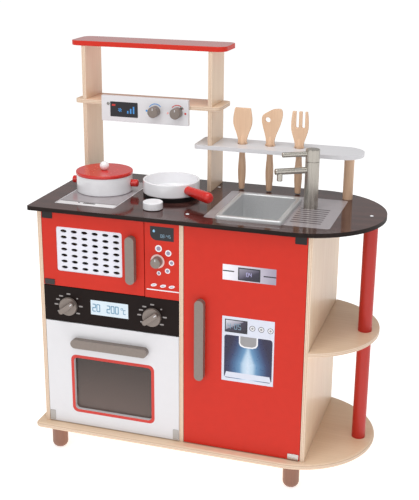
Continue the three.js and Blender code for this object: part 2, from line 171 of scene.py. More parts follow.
def wood(name, light, dark, grain="x", rough=0.42, coat=0.15, fine=1.0, seed=0.0):
    """Clear-lacquered wood whose grain runs along one axis."""
    k = M(name)
    i = "xyz".index(grain)
    wide = [17.0, 17.0, 17.0]; wide[i] = 1.2
    thin = [420.0, 420.0, 420.0]; thin[i] = 9.0
    a = k.noise(k.mapped(tuple(wide), loc=(seed, seed, seed)), 1.0, 5, 0.55, 0.8)
    b = k.noise(k.mapped(tuple(thin), loc=(seed, 0, seed)), 1.0, 4, 0.6, 0.2)
    base = k.ramp(a, [(0.25, dark), (0.5, tuple((x * 0.65 + y * 0.35) for x, y in zip(light, dark))), (0.75, light)])
    fibres = k.ramp(b, [(0.35, (0.9, 0.88, 0.85, 1)), (0.6, (1, 1, 1, 1))])
    k.color(k.mix(0.6 * fine, base, fibres, "MULTIPLY"))
    k.rough(k.rng(b, 0.3, 0.7, rough + 0.07, rough - 0.05))
    k.bump(b, 0.12, 0.0003)
    k.set(coat=coat, coat_rough=0.2)
    return k.m


def ply_edge(name, axis, t0, t1, light, dark, plies=5):
    """The cut edge of plywood: thin plies across the board's thickness."""
    k = M(name)
    i = "XYZ".index(axis.upper())
    sep = k.node("ShaderNodeSeparateXYZ")
    k.link(k.co, sep.inputs[0])
    u = k.rng(sep.outputs[i], t0 * 0.001, t1 * 0.001, 0, 1)
    wob = k.rng(k.noise(k.co, 40, 3), 0.3, 0.7, -0.012, 0.012)
    stops = []
    for j in range(plies):
        col = light if j % 2 == 0 else dark
        stops += [(j / plies + 0.02, col), ((j + 1) / plies - 0.02, col)]
    base = k.ramp(k.math("ADD", u, wob), stops)
    n = k.noise(k.co, 300, 4)
    k.color(k.mix(0.5, base, k.ramp(n, [(0.3, (0.85, 0.82, 0.78, 1)), (0.7, (1, 1, 1, 1))]), "MULTIPLY"))
    k.rough(k.rng(n, 0.3, 0.7, 0.5, 0.62))
    k.bump(n, 0.15, 0.0003)
    return k.m


def metal(name, col, rough, streak=None, metallic=1.0, var=0.08):
    """Brushed metal, or metallic lacquer, with streaks along one axis."""
    k = M(name)
    sc = [900.0, 900.0, 900.0]
    if streak:
        sc["xyz".index(streak)] = 8.0
    n = k.noise(k.mapped(tuple(sc)), 1.0, 3)
    lo = tuple(v * 0.86 for v in col[:3]) + (1,)
    k.color(k.ramp(n, [(0.3, lo), (0.7, col)]))
    k.rough(k.rng(n, 0.3, 0.7, rough - var / 2, rough + var))
    k.bump(n, 0.06, 0.0002)
    k.set(metallic=metallic)
    return k.m


WOOD_L, WOOD_D = S(238, 212, 184), S(229, 199, 168)
PLY_L, PLY_D = S(234, 212, 190), S(214, 184, 158)
wood_x = wood("ply_face_x", WOOD_L, WOOD_D, "x")
wood_z = wood("ply_face_z", WOOD_L, WOOD_D, "z", seed=3.1)
wood_y = wood("ply_face_y", WOOD_L, WOOD_D, "y", seed=5.7)
# painted shade: the feet's beech colour is darkened by about a third, standing in for the dimmer light low down by the
# floor
beech_shaded_z = wood("beech_shaded_z", S(147, 103, 84), S(131, 89, 70), "z", rough=0.42)
pale_z = wood("utensil_wood", S(236, 200, 168), S(224, 184, 150), "z", rough=0.42, seed=1.3)
red = paint("red_paint", S(204, 43, 26), 0.42, tint=0.02)
red.node_tree.nodes["Principled BSDF"].inputs["Specular IOR Level"].default_value = 0.25
red_gloss = paint("red_gloss", S(212, 34, 26), 0.22, coat=0.3, peel=0.04, tint=0.02)
red_post = paint("red_post", S(188, 38, 26), 0.4, tint=0.02)
red_shelf = paint("red_shelf", S(208, 44, 30), 0.24, coat=1.0, tint=0.02, peel=0.05)
white = paint("white_paint", S(222, 221, 224), 0.34, coat=0.2, tint=0.008)
white_gloss = paint("white_gloss", S(248, 248, 251), 0.16, coat=0.5, tint=0.006, peel=0.04)
black = paint("black_gloss", S(30, 21, 19), 0.45)
black.node_tree.nodes["Principled BSDF"].inputs["Specular IOR Level"].default_value = 0.1
black_rim = paint("black_rim", S(30, 24, 23), 0.4)
black_matt = paint("black_matt", S(20, 15, 15), 0.5)
black_matt.node_tree.nodes["Principled BSDF"].inputs["Specular IOR Level"].default_value = 0.2
grey = paint("grey_lacquer", S(133, 122, 115), 0.38, metallic=0.35, tint=0.05, scale=300)
silver = metal("silver_lacquer", S(190, 184, 175), 0.27, "z", metallic=0.88)
silver_x = metal("silver_lacquer_bar", S(196, 191, 182), 0.25, None, metallic=0.88)
steel = metal("steel", S(224, 225, 226), 0.37, "y", metallic=0.68)
steel_plate = metal("steel_plate", S(200, 198, 194), 0.25, "x")
dark_plate = metal("dark_plate", S(70, 66, 66), 0.25, "x")
# painted shade: the two top hinge plates, under the worktop's overhang, are coloured near-black, standing in for the
# overhang's shadow; the lower hinge plates keep lighter metal
overhang_shaded_plate = metal("overhang_shaded_plate", S(26, 22, 22), 0.4, "x", metallic=0.3)
oven_plate = metal("oven_plate", S(184, 180, 176), 0.45, "x", metallic=0.3)
screw_mat = metal("screw", S(150, 148, 144), 0.3, "x")

k = M("worktop")
g1 = k.noise(k.mapped((3.0, 46.0, 46.0)), 1.0, 5, 0.6, 0.5)
g2 = k.noise(k.mapped((22.0, 640.0, 640.0)), 1.0, 3)
k.color(k.mix(0.5, k.ramp(g1, [(0.35, S(62, 37, 34)), (0.65, S(90, 58, 53))]), k.ramp(g2, [(0.35, (0.6, 0.56, 0.55, 1)), (0.6, (1, 1, 1, 1))]), "MULTIPLY"))
k.rough(k.rng(g1, 0.3, 0.7, 0.07, 0.12))
k.bump(g2, 0.02, 0.0001)
k.set(spec=0.42)
worktop = k.m
k = M("worktop_edge")
k.color(k.ramp(k.noise(k.mapped((8.0, 300.0, 300.0)), 1.0, 4), [(0.35, S(26, 18, 16)), (0.65, S(40, 29, 26))]))
k.rough(k.rng(k.noise(k.co, 200, 2), 0.3, 0.7, 0.45, 0.55))
k.bump(k.noise(k.co, 500, 2), 0.1)
k.set(spec=0.15)
worktop_edge = k.m

k = M("smoked_pane")
n = k.noise(k.co, 8, 2)
sep = k.node("ShaderNodeSeparateXYZ")
k.link(k.co, sep.inputs[0])
# painted reflection: the pane is coloured dark at the top and lighter towards the bottom, standing in for a soft
# reflection on the glass
fall = k.math("ADD", k.rng(sep.outputs[2], 0.110, 0.250, 1, 0), k.rng(n, 0.3, 0.7, -0.05, 0.05))
k.color(k.ramp(fall, [(0.0, S(60, 47, 42)), (1.0, S(112, 94, 87))]))
k.rough(k.rng(n, 0.3, 0.7, 0.04, 0.09))
k.bump(n, 0.01)
k.set(alpha=0.74, spec=0.6)
pane = k.m


def ink(name, *rgb, rough=0.35):
    return paint(name, S(*rgb), rough, tint=0.02, peel=0.02)


ink_white = ink("ink_white", 236, 236, 240)
ink_pink = ink("ink_pink", 240, 170, 165)
ink_grey = ink("ink_grey", 150, 148, 150)
ink_dark = ink("ink_dark", 24, 22, 34)
ink_navy = ink("ink_navy", 22, 26, 52)
ink_blue = ink("ink_blue", 70, 150, 220)
ink_cyan = ink("ink_cyan", 150, 205, 240)
ink_red = ink("ink_red", 205, 48, 36)
ink_lcd = ink("ink_lcd", 214, 228, 238)
ink_digit = ink("ink_digit", 104, 152, 182)
ink_pale = ink("ink_pale", 170, 192, 208)
ink_night = ink("ink_night", 16, 15, 24)
ink_dim = ink("ink_dim", 120, 150, 170)
ink_disc = ink("ink_disc", 240, 206, 202)
ink_mauve = ink("ink_mauve", 150, 140, 164)
ink_purple = ink("ink_purple", 56, 47, 82)
ink_lilac = ink("ink_lilac", 176, 170, 214)
ink_frost = ink("ink_frost", 214, 218, 232)
ink_line = ink("ink_line", 58, 48, 48, rough=0.6)
ink_line.node_tree.nodes["Principled BSDF"].inputs["Specular IOR Level"].default_value = 0.1
ink_glint = ink("ink_glint", 150, 155, 178)
ink_tick = ink("ink_tick", 150, 144, 142)
ink_silver = ink("ink_silver", 178, 180, 186)

# ------------------------------------------------------------------ geometry
def arcp(cx, cy, r, a0, a1, n):
    return [(cx + r * math.cos(math.radians(a0 + (a1 - a0) * i / n)), cy + r * math.sin(math.radians(a0 + (a1 - a0) * i / n))) for i in range(n + 1)]


def rr(x0, y0, x1, y1, r, n=8):
    r = min(r, (x1 - x0) / 2 - 1e-4, (y1 - y0) / 2 - 1e-4)
    return arcp(x1 - r, y0 + r, r, -90, 0, n) + arcp(x1 - r, y1 - r, r, 0, 90, n) + arcp(x0 + r, y1 - r, r, 90, 180, n) + arcp(x0 + r, y0 + r, r, 180, 270, n)


def rect(x0, y0, x1, y1):
    return [(x0, y0), (x1, y0), (x1, y1), (x0, y1)]


def circ(cx, cy, r, n=32, ry=None, tilt=0.0):
    out = []
    for i in range(n):
        a = 2 * pi * i / n
        u, v = r * math.cos(a), (ry or r) * math.sin(a)
        t = math.radians(tilt)
        out.append((cx + u * math.cos(t) - v * math.sin(t), cy + u * math.sin(t) + v * math.cos(t)))
    return out


def band(cx, cy, r, w, a0, a1, n=16):
    return arcp(cx, cy, r + w / 2, a0, a1, n) + arcp(cx, cy, r - w / 2, a1, a0, n)


def stroke(p, q, w):
    dx, dy = q[0] - p[0], q[1] - p[1]
    L = math.hypot(dx, dy) or 1
    nx, ny = -dy / L * w / 2, dx / L * w / 2
    return [(p[0] - nx, p[1] - ny), (q[0] - nx, q[1] - ny), (q[0] + nx, q[1] + ny), (p[0] + nx, p[1] + ny)]


def place(axis, u, v, t):
    return {"z": (u, v, t), "y": (u, t, v), "x": (t, u, v)}[axis]


def finish_mesh(name, bm, mats, flat_axis=None, bevel=0.0, seg=3, angle=30, sharp=38, matfn=None):
    bmesh.ops.recalc_face_normals(bm, faces=bm.faces)
    for v in bm.verts:
        v.co *= 0.001
    for f in bm.faces:
        f.smooth = True
        f.normal_update()
        if matfn:
            f.material_index = matfn(f)
        elif flat_axis is not None and len(mats) > 1:
            f.material_index = 0 if abs(f.normal["xyz".index(flat_axis)]) > 0.9 else 1
    if not bevel:
        for e in bm.edges:
            if len(e.link_faces) == 2 and e.calc_face_angle(0) > math.radians(sharp):
                e.smooth = False
    me = bpy.data.meshes.new(name)
    bm.to_mesh(me)
    bm.free()
    o = bpy.data.objects.new(name, me)
    scene.collection.objects.link(o)
    for k in mats:
        me.materials.append(k)
    if bevel:
        b = o.modifiers.new("bevel", "BEVEL")
        b.width = bevel * 0.001
        b.segments = seg
        b.limit_method = "ANGLE"
        b.angle_limit = math.radians(angle)
        b.use_clamp_overlap = True
        w = o.modifiers.new("normals", "WEIGHTED_NORMAL")
        w.keep_sharp = True
        w.weight = 80
    return o


def loops(bm, outline, holes, axis, t):
    edges = []
    for loop in [outline] + list(holes):
        vs = [bm.verts.new(place(axis, u, v, t)) for u, v in loop]
        edges += [bm.edges.new((a, b)) for a, b in zip(vs, vs[1:] + vs[:1])]
    return edges


def prism(name, outline, axis, t0, t1, mats, holes=(), bevel=0.6, seg=3, angle=30, sharp=38):
    bm = bmesh.new()
    if holes:
        edges = loops(bm, outline, holes, axis, t0)
        bmesh.ops.triangle_fill(bm, use_beauty=True, use_dissolve=False, edges=edges)
    else:
        bm.faces.new([bm.verts.new(place(axis, u, v, t0)) for u, v in outline])
    faces = list(bm.faces)
    r = bmesh.ops.extrude_face_region(bm, geom=faces)
    d = Vector(place(axis, 0, 0, t1 - t0))
    bmesh.ops.translate(bm, verts=[g for g in r["geom"] if isinstance(g, bmesh.types.BMVert)], vec=d)
    return finish_mesh(name, bm, mats, axis, bevel, seg, angle, sharp)


def lathe(name, profile, mats, at=(0, 0, 0), turn=None, seg=64, sharp=38, matfn=None):
    """profile: [radius, height] about +Z, turned by matrix turn, then moved to at."""
    bm = bmesh.new()
    rings = []
    held = [profile[0]]                           # extra rings hold the shading of long runs flat
    for (r0, z0), (r1, z1) in zip(profile, profile[1:]):
        run = math.hypot(r1 - r0, z1 - z0)
        if run > 3:
            e = 0.4 / run
            held += [(r0 + (r1 - r0) * e, z0 + (z1 - z0) * e), (r1 - (r1 - r0) * e, z1 - (z1 - z0) * e)]
        held.append((r1, z1))
    for r, z in held:
        if r < 1e-6:
            rings.append([bm.verts.new((0, 0, z))])
        else:
            rings.append([bm.verts.new((r * math.cos(2 * pi * i / seg), r * math.sin(2 * pi * i / seg), z)) for i in range(seg)])
    for a, b in zip(rings, rings[1:]):
        for i in range(seg):
            j = (i + 1) % seg
            q = [a[i % len(a)], a[j % len(a)], b[j % len(b)], b[i % len(b)]]
            u = []
            for v in q:
                if v not in u:
                    u.append(v)
            if len(u) > 2:
                bm.faces.new(u)
    if turn is not None:
        bmesh.ops.transform(bm, matrix=turn.to_4x4(), verts=bm.verts)
    bmesh.ops.translate(bm, verts=bm.verts, vec=at)
    return finish_mesh(name, bm, mats, sharp=sharp, matfn=matfn)


def put(o, body, *nodes, slot=None):
    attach(o, body)
    if nodes:
        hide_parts(*nodes)
    return o


TO_Y = Matrix.Rotation(pi / 2, 3, "X")            # a turned piece faces -Y
def lying(deg):
    """A turned piece lies flat and points along this direction."""
    return Matrix.Rotation(math.radians(deg), 3, "Z") @ Matrix.Rotation(pi / 2, 3, "Y")


def join(name, objs):
    """Merges finished meshes into one object (modifiers are applied first)."""
    dg = bpy.context.evaluated_depsgraph_get()
    bm = bmesh.new()
    mats = []
    me = bpy.data.meshes.new(name)
    for o in objs:
        ev = o.evaluated_get(dg)
        tmp = ev.to_mesh()
        base = len(bm.faces)
        bm.from_mesh(tmp)
        bm.faces.ensure_lookup_table()
        remap = []
        for k in o.data.materials:
            if k not in mats:
                mats.append(k)
            remap.append(mats.index(k))
        for f in bm.faces[base:]:
            f.material_index = remap[min(f.material_index, len(remap) - 1)]
        ev.to_mesh_clear()
    bm.to_mesh(me)
    bm.free()
    for k in mats:
        me.materials.append(k)
    res = bpy.data.objects.new(name, me)
    scene.collection.objects.link(res)
    for o in objs:
        bpy.data.objects.remove(o)
    return res


FRONT = -155.0
CAB = "cabinet"


def decal(name, outline, mat, body, plane=FRONT, holes=(), lift=0.12, axis="y"):
    """A thin printed layer on a face; plane is the face's own coordinate."""
    t0, t1 = (plane - lift, plane + 0.05) if axis == "y" else (plane - 0.05, plane + lift)
    o = prism(name, outline, axis, t0, t1, [mat], holes=holes, bevel=0)
    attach(o, body)
    return o


def decals(name, outlines, mat, body, plane=FRONT, lift=0.12, axis="y"):
    """Several separate printed shapes in one piece."""
    t0, t1 = (plane - lift, plane + 0.05) if axis == "y" else (plane - 0.05, plane + lift)
    bm = bmesh.new()
    for out in outlines:
        f = bm.faces.new([bm.verts.new(place(axis, u, v, t0)) for u, v in out])
        r = bmesh.ops.extrude_face_region(bm, geom=[f])
        bmesh.ops.translate(bm, verts=[g for g in r["geom"] if isinstance(g, bmesh.types.BMVert)], vec=Vector(place(axis, 0, 0, t1 - t0)))
    o = finish_mesh(name, bm, [mat])
    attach(o, body)
    return o


# ------------------------------------------------------------------ carcass
def dend(x0, xc, yc, r, c, n=72):
    return arcp(xc, yc, r, -90, 90, n) + arcp(x0 + c, yc + r - c, c, 90, 180, 8) + arcp(x0 + c, yc - r + c, c, 180, 270, 8)


o = prism("base_plate_v", dend(-372, 197, 0, 175, 14), "z", 63.5, 76.5, [wood_x, ply_edge("base_edge", "z", 63.5, 76.5, PLY_L, PLY_D, 7)], bevel=5.9, seg=6)
put(o, CAB, "base_plate", slot="plywood")
# the feet's wood is darkened: painted shade by the floor
for name, x, y in (("foot_front_left", -332, -129), ("foot_front_right", 216, -129), ("foot_back_left", -332, 129), ("foot_back_right", 216, 129)):
    o = lathe(name + "_v", [(0, 0), (4, 0)] + arcp(4, 14, 14, -90, 0, 10)[1:] + [(18, 63.5), (0, 63.5)], [beech_shaded_z], (x, y, 0), seg=48)
    put(o, CAB, name, slot="beech")
edge_cache = {}


def edge(axis, t0, t1, plies=5):
    key = (axis, t0, t1)
    if key not in edge_cache:
        edge_cache[key] = ply_edge("edge_%s_%g" % (axis, t0), axis, t0, t1, PLY_L, PLY_D, plies)
    return edge_cache[key]


for name, x0, x1, y1 in (("left_side_panel", -352, -343, 153.5), ("right_side_panel", 239, 248, 153.5), ("divider_panel", -30.5, -21.5, 149.5)):
    put(prism(name + "_v", rect(FRONT, 76.5, y1, 578.5), "x", x0, x1, [wood_z, edge("x", x0, x1)], bevel=0.5), CAB, name, slot="plywood")
put(prism("back_panel_v", rect(-343, 76.5, 239, 578.5), "y", 149.5, 153.5, [wood_z, edge("y", 149.5, 153.5, 3)], bevel=0.3), CAB, "back_panel", slot="plywood")
for name, z0 in (("microwave_floor", 399.0), ("oven_top_board", 326.5)):
    put(prism(name + "_v", rect(-343, -146, -30.5, 149.5), "z", z0, z0 + 9, [wood_x, edge("z", z0, z0 + 9)], bevel=0.4), CAB, name, slot="plywood")
a = math.degrees(math.acos((248 - 202.25) / 166.75))
put(prism("end_shelf_v", arcp(202.25, -2.25, 166.75, -a, a, 60), "z", 322.5, 331.5, [wood_x, edge("z", 322.5, 331.5)], bevel=1.2), CAB, "end_shelf", slot="plywood")
for name, z0, z1 in (("post_lower", 76.5, 322.5), ("post_upper", 331.5, 578.5)):
    put(lathe(name + "_v", [(0, z0), (14.8, z0), (14.8, z1), (0, z1)], [red_post], (338.7, -4.2, 0), seg=64), CAB, name, slot="red_paint")
tub = rr(46, -122.5, 169.5, 52.5, 10)
put(prism("countertop_v", dend(-369.5, 202.25, -2.25, 166.75, 6), "z", 578.5, 587.5, [worktop, worktop_edge], holes=[tub], bevel=0.7), CAB, "countertop", slot="worktop")

# ------------------------------------------------------------------ doors and fronts
MW, OV, FR = "microwave_door", "oven_door", "fridge_door"
mwh = rr(-309, 444, -158, 544, 5)
put(prism("microwave_door_v", rect(-342.1, 409.2, -108.2, 577.6), "y", FRONT, -146, [red], holes=[mwh], bevel=0.8), MW, "microwave_door", slot="red_paint")
holes = [circ(-292 + 24.1 * i, 534.9 - 13.6 * j, 7.2, 24, 3.4) for i in range(6) for j in range(7)]
perf = paint("perforated_sheet", S(226, 226, 236), 0.4, tint=0.03)
put(prism("microwave_window_v", rr(-308.9, 444.1, -158.1, 543.9, 5), "y", -153.5, -150.5, [perf], holes=holes, bevel=0), MW, "microwave_window", slot="perforated")
put(prism("microwave_control_panel_v", rect(-106.8, 408.3, -30.5, 578.5), "y", FRONT, -146, [red], bevel=0.7), CAB, "microwave_control_panel", slot="red_paint")
put(prism("oven_control_panel_v", rect(-343, 327.4, -30.5, 408), "y", FRONT, -146, [black], bevel=0.6), CAB, "oven_control_panel", slot="black_panel")
put(prism("oven_door_v", rect(-342.1, 78.5, -31.4, 325.6), "y", FRONT, -146, [white], holes=[rr(-277.5, 116.5, -95, 243, 9)], bevel=0.8), OV, "oven_door", slot="white_paint")
put(prism("oven_window_v", rr(-286, 108, -86.5, 251.5, 8), "y", -146, -143, [pane], bevel=0), OV, "oven_window", slot="smoked_pane")
put(prism("fridge_door_v", rect(-20.6, 78.5, 238.1, 577.6), "y", FRONT, -146, [red], bevel=0.8), FR, "fridge_door", slot="red_paint")
for name, x0, x1, z0, z1, body in (("microwave_handle", -146, -126, 436.5, 541.5, MW), ("oven_handle", -278.6, -100.2, 271.5, 291.5, OV), ("fridge_handle", 7, 27, 237.8, 419.7, FR)):
    put(prism(name + "_v", rr(x0, z0, x1, z1, 10, 12), "y", FRONT - 14, FRONT, [grey], bevel=1.6, seg=4, angle=40), body, name, slot="grey_paint")
# the two top hinge plates get the near-black plate: painted shade under the worktop's overhang
for name, x0, x1, z0, z1, body, mt in (
        ("microwave_hinge_top", -340.1, -316.1, 560.6, 576.6, MW, overhang_shaded_plate), ("microwave_hinge_bottom", -340.1, -316.1, 410.2, 423.2, MW, dark_plate),
        ("oven_hinge_left", -341.1, -328.1, 80.5, 104.5, OV, oven_plate), ("oven_hinge_right", -45.4, -32.4, 80.5, 104.5, OV, oven_plate),
        ("fridge_hinge_top", 212.1, 236.1, 560.6, 576.6, FR, overhang_shaded_plate), ("fridge_hinge_bottom", 212.1, 236.1, 79.5, 92.5, FR, steel_plate)):
    put(prism(name + "_v", rr(x0, z0, x1, z1, 1.6, 4), "y", FRONT - 1.2, FRONT, [mt], bevel=0.35, seg=3), body, name)

# ------------------------------------------------------------------ knobs
def oven_knob(name, x):
    disc = lathe("d", [(0, 0), (20.5, 0), (20.5, 5.8), (20.2, 6.9), (19.4, 7.8), (18.4, 8), (0, 8)], [grey], (x, FRONT, 364.5), TO_Y)
    grip = prism("g", [(u, v) for u, v in rr(-20.6, -5.8, 20.6, 5.8, 5, 8)], "y", -18, -7, [grey], bevel=1.4, seg=4, angle=40)
    # pointer line cut into the grip's front
    line = prism("l", rr(12, -0.8, 19, 0.8, 0.7, 4), "y", -18.15, -17.8, [ink_white], bevel=0)
    turn = Matrix.Translation(Vector((x, FRONT, 364.5)) * 0.001) @ Matrix.Rotation(math.radians(-38), 4, "Y")
    for g in (grip, line):
        g.data.transform(turn)
    put(join(name + "_v", [disc, grip, line]), name, name, slot="grey_paint")


oven_knob("oven_knob_left", -285)
oven_knob("oven_knob_right", -91)


def round_knob(name, x, y, z, r, h):
    prof = [(0, 0), (r - 0.3, 0), (r, 0.3), (r, h - 2)] + arcp(r - 2, h - 2, 2, 0, 90, 6)[1:] + [(0, h)]
    body = lathe("b", prof, [grey], (x, y, z), TO_Y)
    line = prism("l", rr(x - 0.7, z + r * 0.35, x + 0.7, z + r - 2.2, 0.6, 4), "y", y - h - 0.12, y - h + 0.2, [ink_white], bevel=0)
    put(join(name + "_v", [body, line]), name, name, slot="grey_paint")


round_knob("microwave_knob", -78, FRONT, 491, 11.3, 16)
round_knob("hood_knob_left", -158.7, 55.5, 763.5, 12, 20)
round_knob("hood_knob_right", -107, 55.5, 763.5, 12, 20)

# ------------------------------------------------------------------ hutch
SH = (64.5, 158.0)
for name, x, cuts in (("hutch_upright_left", -338, [(769.3, 778.3)]), ("hutch_upright_right", -40.5, [(683.5, 692.5), (769.3, 778.3)])):
    pts = [(66, 587.5)]
    for a, b in cuts:
        pts += [(66, a), (111, a), (111, b), (66, b)]
    pts += [(66, 898), (157, 898), (157, 587.5)]
    put(prism(name + "_v", pts, "x", x, x + 9, [wood_z, edge("x", x, x + 9)], bevel=0.5), CAB, name, slot="plywood")
put(prism("top_shelf_v", rr(-366, SH[0], -2, SH[1], 20, 12), "z", 898, 909, [red_shelf, red], bevel=1.0), CAB, "top_shelf", slot="red_paint")


def lapped(x0, slots, end, c=10):
    y0, y1 = SH
    return end + [p for a in slots for p in ((a + 9, y1), (a + 9, 111), (a, 111), (a, y1))] + arcp(x0 + c, y1 - c, c, 90, 180, 8) + arcp(x0 + c, y0 + c, c, 180, 270, 8)


put(prism("hutch_shelf_v", lapped(-358, [-40.5, -338], arcp(-27, 78.5, 14, -90, 0, 10) + arcp(-27, 144, 14, 0, 90, 10), 14), "z", 769.3, 778.3, [wood_x, edge("z", 769.3, 778.3)], bevel=0.8), CAB, "hutch_shelf", slot="plywood")
put(prism("hood_panel_v", rr(-287.5, 734.5, -81.5, 792.3, 1.5, 4), "y", 55.5, 64.5, [white], bevel=0.8), CAB, "hood_panel", slot="white_paint")
UX = (27.0, 90.5, 156.0)
put(prism("utensil_shelf_v", lapped(-73, [-40.5], arcp(252.75, 111.25, 46.75, -90, 90, 40)), "z", 683.5, 692.5, [white], holes=[circ(x, 111, 10.5, 40) for x in UX], bevel=0.9), CAB, "utensil_shelf", slot="white_paint")
put(lathe("shelf_dowel_v", [(0, 587.5), (11, 587.5), (11, 683.5), (0, 683.5)], [pale_z], (268, 110, 0), seg=48), CAB, "shelf_dowel", slot="beech")

# ------------------------------------------------------------------ utensils
HT = 692.8
prof = [(0, 589.2), (4.2, 589.2), (5.6, 589.7), (6.2, 590.8), (6.9, 598), (7.6, 606), (8.4, 615), (8.85, 624), (9, 632), (8.8, 640), (8.3, 650), (7.2, 662), (6.5, 674), (6.6, 679), (7.2, 685), (7.5, 690), (7.6, 697), (6.6, 703), (4.0, 712), (0, 716)]
mirror = lambda half: half + [(-u, v) for u, v in reversed(half)]
HEADS = {
    "spatula": mirror([(11.5, 0), (9.6, 5), (10.0, 9), (11.2, 14), (13, 20), (15, 26), (17.5, 32), (19.6, 38), (21.1, 43), (21.6, 48), (21.7, 54), (21.4, 60), (20.5, 66), (19.4, 72), (17.6, 80.5)]),
    "turner": [(11.5, 0), (9.2, 6), (9.6, 12), (11, 18), (13.2, 25), (16, 32), (19, 39), (21.4, 46), (23.8, 54), (25.6, 62), (26.6, 68), (26.6, 72), (26.0, 76), (25.2, 79), (23.4, 81.6), (21.6, 82.7), (19.4, 83), (15, 82.9), (11, 82.4), (7, 81.7), (3.6, 80.6), (-2, 77.6), (-7.4, 74.6), (-12.0, 72.0), (-15.6, 69.4), (-17.8, 66.8), (-19, 64), (-19.8, 60), (-19.8, 56.5), (-19.2, 51), (-18, 46), (-16.2, 39), (-14, 32), (-12.1, 25), (-10.4, 18), (-9.3, 12), (-9, 6), (-11.5, 0)],
    "serving_fork": [(11.5, 0), (9.6, 5), (10, 9), (11.2, 14), (13, 20), (15, 26), (17, 32), (18.4, 38), (19.2, 44), (19.4, 50), (19.2, 58), (18.6, 66), (16.8, 80.5), (11.2, 80.5), (11.2, 46.8), (10.2, 44.8), (8.1, 44), (6.0, 44.8), (5.0, 46.8), (5.0, 80.5), (-2.4, 80.5), (-2.4, 46.8), (-3.4, 44.8), (-5.5, 44), (-7.6, 44.8), (-8.6, 46.8), (-8.6, 80.5), (-16.8, 80.5), (-18.6, 66), (-19.2, 58), (-19.4, 50), (-19.2, 44), (-18.4, 38), (-17, 32), (-15, 26), (-13, 20), (-11.2, 14), (-10, 9), (-9.6, 5), (-11.5, 0)],
}
for (name, pts), x in zip(HEADS.items(), UX):
    out = [(x + u, HT + v) for u, v in pts]
    hs = [circ(x - 6, HT + 57.5, 5.8, 28)] if name == "turner" else []
    head = prism("head", out, "y", 107.5, 114.5, [pale_z], holes=hs, bevel=1.5, seg=3, angle=40)
    hand = lathe("hand", prof, [pale_z], (x, 111, 0), seg=40)
    put(join(name + "_v", [head, hand]), name, name, slot="beech")

# ------------------------------------------------------------------ sink
def ring_surface(name, rings, mats, close_last=True):
    """Skins a stack of loops, each a list of (x, y, z) with the same count."""
    bm = bmesh.new()
    vs = [[bm.verts.new(p) for p in r] for r in rings]
    for a, b in zip(vs, vs[1:]):
        for i in range(len(a)):
            j = (i + 1) % len(a)
            bm.faces.new((a[i], a[j], b[j], b[i]))
    if close_last:
        bm.faces.new(vs[-1])
        bm.faces.new(list(reversed(vs[0])))
    return finish_mesh(name, bm, mats, sharp=50)


def lr(x0, y0, x1, y1, r, z, n=8):
    return [(u, v, z) for u, v in rr(x0, y0, x1, y1, r, n)]


sx0, sx1, sy0, sy1 = 37.5, 178.0, -131.0, 61.0
ix0, ix1, iy0, iy1 = 48.5, 167.0, -120.0, 50.0
zt, zb = 595.5, 519.5
R = []
def inset(d, z, r, outer=True):
    b = (sx0, sy0, sx1, sy1) if outer else (ix0, iy0, ix1, iy1)
    R.append(lr(b[0] + d, b[1] + d, b[2] - d, b[3] - d, max(r, 0.5), z))
# outside of the tub, up under the flange, down the skirt inside, round it and over the rim into the bowl
inset(3.0, zb, 6, False)
inset(-0.4, zb + 1.2, 8, False)
inset(-1.6, zb + 5, 9.5, False)
inset(-1.6, zt - 1.6, 9.5, False)
inset(1.6, zt - 1.6, 5.5)
inset(1.6, 587.5, 5.5)
inset(0.0, 587.5, 7)
inset(0.0, zt - 2.5, 7)
inset(0.5, zt - 1.0, 6.6)
inset(1.4, zt - 0.2, 6)
inset(2.4, zt, 5.5)
inset(-2.0, zt, 10, False)
inset(-0.8, zt - 0.4, 9, False)
inset(-0.1, zt - 1.4, 8.4, False)
inset(0, zt - 3, 8, False)
inset(0, zb + 10, 8, False)
inset(0.6, zb + 6, 8, False)
inset(2.2, zb + 3.4, 7.5, False)
inset(4.6, zb + 2.0, 6.5, False)
inset(7.5, zb + 1.6, 6, False)
o = ring_surface("sink_basin_v", R, [steel])
drain = lathe("drain", [(0, zb + 1.7), (6, zb + 1.7), (7, zb + 2.6), (11, zb + 3.0), (12.5, zb + 2.4), (13, zb + 1.5), (0, zb + 1.5)], [steel_plate], ((ix0 + ix1) / 2, -35, 0), seg=40)
put(join("sink_v", [o, drain]), CAB, "sink_basin", slot="steel")

# ------------------------------------------------------------------ tap
tx, ty = 206.0, 14.0
body = lathe("b", [(0, 587.5), (15, 587.5), (15, 688.1), (14.75, 688.4), (14.4, 688.5), (0, 688.5)], [silver], (tx, ty, 0), seg=72)
spout = lathe("s", [(0, 8), (6.8, 8), (6.8, 79.6), (6.4, 80.8), (5.6, 81.4), (0, 81.4)], [silver_x], (tx, ty, 670.3), lying(212), 48)
c2, s2 = math.cos(math.radians(212)), math.sin(math.radians(212))
noz = lathe("n", [(0, 650.2), (5.2, 650.2), (5.8, 650.6), (6, 651.2), (6, 670), (0, 670)], [silver_x], (tx + 71 * c2, ty + 71 * s2, 0), seg=48)
ring = lathe("r", [(0, 649.9), (4.0, 649.9), (4.0, 650.25), (0, 650.25)], [black_rim], (tx + 71 * c2, ty + 71 * s2, 0), seg=32)
put(join("faucet_v", [body, spout, noz, ring]), "faucet", "faucet_body", "faucet_spout", slot="silver_paint")
cap = lathe("c", [(0, 689), (14.4, 689), (14.75, 689.1), (15, 689.4), (15, 713.4), (14.6, 714.6), (13.6, 715), (0, 715)], [silver], (tx, ty, 0), seg=72)
lever = lathe("l", [(0, 4), (5.4, 4), (5.4, 64.8), (5.0, 65.8), (4.2, 66.2), (0, 66.2)], [silver_x], (tx, ty, 705), lying(211), 40)
put(join("faucet_cap_v", [cap, lever]), "faucet_cap", "faucet_cap", slot="silver_paint")

